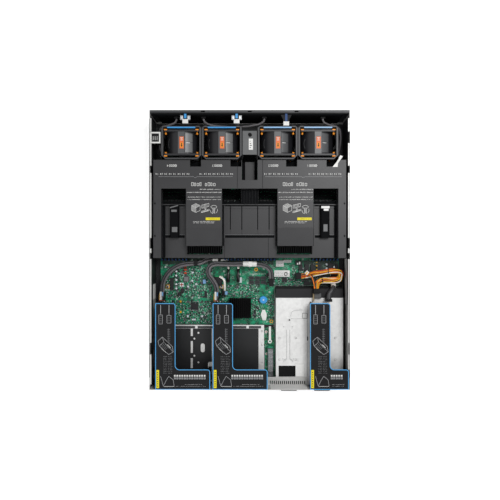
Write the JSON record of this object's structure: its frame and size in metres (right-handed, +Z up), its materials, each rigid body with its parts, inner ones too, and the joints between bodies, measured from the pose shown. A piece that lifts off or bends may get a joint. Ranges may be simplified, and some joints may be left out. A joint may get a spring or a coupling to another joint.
{
  "type": "rack server",
  "caption": "Open two-unit rack server chassis with lift-out fans, an air duct over the processors, riser cages and slide-out power supplies.",
  "frame": {"origin": "on the underside of the chassis floor, midway between the side walls and midway between the front and rear edges of the tray", "axes": "+X to the right seen from above with the front at the top, +Y to the front (air intake), +Z up"},
  "size_m": [0.445, 0.635, 0.087],
  "materials": {
    "zinc_steel": "zinc-plated sheet, satin",
    "psu_metal": "plated sheet, satin",
    "port_steel": "tin-plated, satin",
    "circuit_board": "green solder mask, satin",
    "black_plastic": "matt moulded",
    "grey_plastic": "matt moulded",
    "fan_plastic": "glass-filled, satin",
    "blue_plastic": "moulded, satin",
    "white_plastic": "matt moulded",
    "black_paint": "matt black with a printed film",
    "heatsink_aluminium": "extruded, satin",
    "socket_steel": "nickel-plated",
    "cable_sleeve": "woven sleeve, matt",
    "coloured_wire": "insulated wires, satin"
  },
  "bodies": {
    "chassis": {"board_parts": "black_plastic", "cable_clips": "black_plastic", "cable_grommet": "white_plastic", "cable_looms": "cable_sleeve", "cable_plugs": "black_plastic", "chassis_tray": "zinc_steel", "chipset_heatsink": "heatsink_aluminium", "cpu_heatsinks": "heatsink_aluminium", "cpu_sockets": "socket_steel", "drive_backplane": "circuit_board", "fan_bridge": "zinc_steel", "fan_cage": "zinc_steel", "front_bulkhead": "zinc_steel", "io_shelf": "zinc_steel", "memory_modules": "circuit_board", "memory_sockets": "black_plastic", "motherboard": "circuit_board", "network_card": "circuit_board", "power_board": "black_plastic", "psu_cage": "zinc_steel", "rear_panel": "zinc_steel", "rear_ports": "port_steel", "shelf_insulators": "black_plastic", "wire_harness": "coloured_wire"},
    "fan_1_module": {"fan_1_carrier": "grey_plastic", "fan_1_frame": "fan_plastic"},
    "fan_1_rotor": {"fan_1_rotor": "fan_plastic"},
    "fan_1_release": {"fan_1_release": "blue_plastic"},
    "fan_2_module": {"fan_2_carrier": "grey_plastic", "fan_2_frame": "fan_plastic"},
    "fan_2_rotor": {"fan_2_rotor": "fan_plastic"},
    "fan_2_release": {"fan_2_release": "blue_plastic"},
    "fan_3_module": {"fan_3_carrier": "grey_plastic", "fan_3_frame": "fan_plastic"},
    "fan_3_rotor": {"fan_3_rotor": "fan_plastic"},
    "fan_3_release": {"fan_3_release": "blue_plastic"},
    "fan_4_module": {"fan_4_carrier": "grey_plastic", "fan_4_frame": "fan_plastic"},
    "fan_4_rotor": {"fan_4_rotor": "fan_plastic"},
    "fan_4_release": {"fan_4_release": "blue_plastic"},
    "air_duct": {"air_duct": "black_plastic", "capacitor_packs": "black_plastic"},
    "riser_1": {"riser_1_cage": "black_paint", "riser_1_board": "circuit_board", "riser_1_blanks": "zinc_steel"},
    "riser_2": {"riser_2_cage": "black_paint", "riser_2_board": "circuit_board", "riser_2_blanks": "zinc_steel"},
    "riser_3": {"riser_3_cage": "black_paint", "riser_3_board": "circuit_board", "riser_3_blanks": "zinc_steel"},
    "psu_1": {"psu_1_case": "psu_metal", "psu_1_handle": "black_plastic"},
    "psu_1_latch": {"psu_1_latch": "blue_plastic"},
    "psu_2": {"psu_2_case": "psu_metal", "psu_2_handle": "black_plastic"},
    "psu_2_latch": {"psu_2_latch": "blue_plastic"},
    "card_lever": {"card_lever": "white_plastic"},
    "board_plunger": {"board_plunger": "blue_plastic"}
  },
  "joints": [
    {"name": "fan_1_lift", "type": "slide", "parent": "chassis", "child": "fan_1_module", "axis": [0, 0, 1], "range_m": [0, 0.1]},
    {"name": "fan_1_spin", "type": "hinge", "parent": "fan_1_module", "child": "fan_1_rotor", "pos_m": [-0.152, 0.2387, 0.0442], "axis": [0, 1, 0], "continuous": true},
    {"name": "fan_1_release_press", "type": "slide", "parent": "fan_1_module", "child": "fan_1_release", "axis": [0, -1, 0], "range_m": [0, 0.002], "stiffness_N_per_m": 400},
    {"name": "fan_2_lift", "type": "slide", "parent": "chassis", "child": "fan_2_module", "axis": [0, 0, 1], "range_m": [0, 0.1]},
    {"name": "fan_2_spin", "type": "hinge", "parent": "fan_2_module", "child": "fan_2_rotor", "pos_m": [-0.062, 0.2387, 0.0442], "axis": [0, 1, 0], "continuous": true},
    {"name": "fan_2_release_press", "type": "slide", "parent": "fan_2_module", "child": "fan_2_release", "axis": [0, -1, 0], "range_m": [0, 0.002], "stiffness_N_per_m": 400},
    {"name": "fan_3_lift", "type": "slide", "parent": "chassis", "child": "fan_3_module", "axis": [0, 0, 1], "range_m": [0, 0.1]},
    {"name": "fan_3_spin", "type": "hinge", "parent": "fan_3_module", "child": "fan_3_rotor", "pos_m": [0.062, 0.2387, 0.0442], "axis": [0, 1, 0], "continuous": true},
    {"name": "fan_3_release_press", "type": "slide", "parent": "fan_3_module", "child": "fan_3_release", "axis": [0, -1, 0], "range_m": [0, 0.002], "stiffness_N_per_m": 400},
    {"name": "fan_4_lift", "type": "slide", "parent": "chassis", "child": "fan_4_module", "axis": [0, 0, 1], "range_m": [0, 0.1]},
    {"name": "fan_4_spin", "type": "hinge", "parent": "fan_4_module", "child": "fan_4_rotor", "pos_m": [0.152, 0.2387, 0.0442], "axis": [0, 1, 0], "continuous": true},
    {"name": "fan_4_release_press", "type": "slide", "parent": "fan_4_module", "child": "fan_4_release", "axis": [0, -1, 0], "range_m": [0, 0.002], "stiffness_N_per_m": 400},
    {"name": "air_duct_lift", "type": "slide", "parent": "chassis", "child": "air_duct", "axis": [0, 0, 1], "range_m": [0, 0.12]},
    {"name": "riser_1_lift", "type": "slide", "parent": "chassis", "child": "riser_1", "axis": [0, 0, 1], "range_m": [0, 0.09]},
    {"name": "riser_2_lift", "type": "slide", "parent": "chassis", "child": "riser_2", "axis": [0, 0, 1], "range_m": [0, 0.09]},
    {"name": "riser_3_lift", "type": "slide", "parent": "chassis", "child": "riser_3", "axis": [0, 0, 1], "range_m": [0, 0.09]},
    {"name": "psu_1_slide", "type": "slide", "parent": "chassis", "child": "psu_1", "axis": [0, -1, 0], "range_m": [0, 0.21]},
    {"name": "psu_1_latch_press", "type": "slide", "parent": "psu_1", "child": "psu_1_latch", "axis": [-1, 0, 0], "range_m": [0, 0.003], "stiffness_N_per_m": 600},
    {"name": "psu_2_slide", "type": "slide", "parent": "chassis", "child": "psu_2", "axis": [0, -1, 0], "range_m": [0, 0.21]},
    {"name": "psu_2_latch_press", "type": "slide", "parent": "psu_2", "child": "psu_2_latch", "axis": [-1, 0, 0], "range_m": [0, 0.003], "stiffness_N_per_m": 600},
    {"name": "card_lever_turn", "type": "hinge", "parent": "chassis", "child": "card_lever", "pos_m": [0.0471, -0.2133, 0.021], "axis": [0, 0, 1], "range_deg": [0, 50]},
    {"name": "board_plunger_pull", "type": "slide", "parent": "chassis", "child": "board_plunger", "axis": [0, 0, 1], "range_m": [0, 0.006], "stiffness_N_per_m": 500}
  ]
}
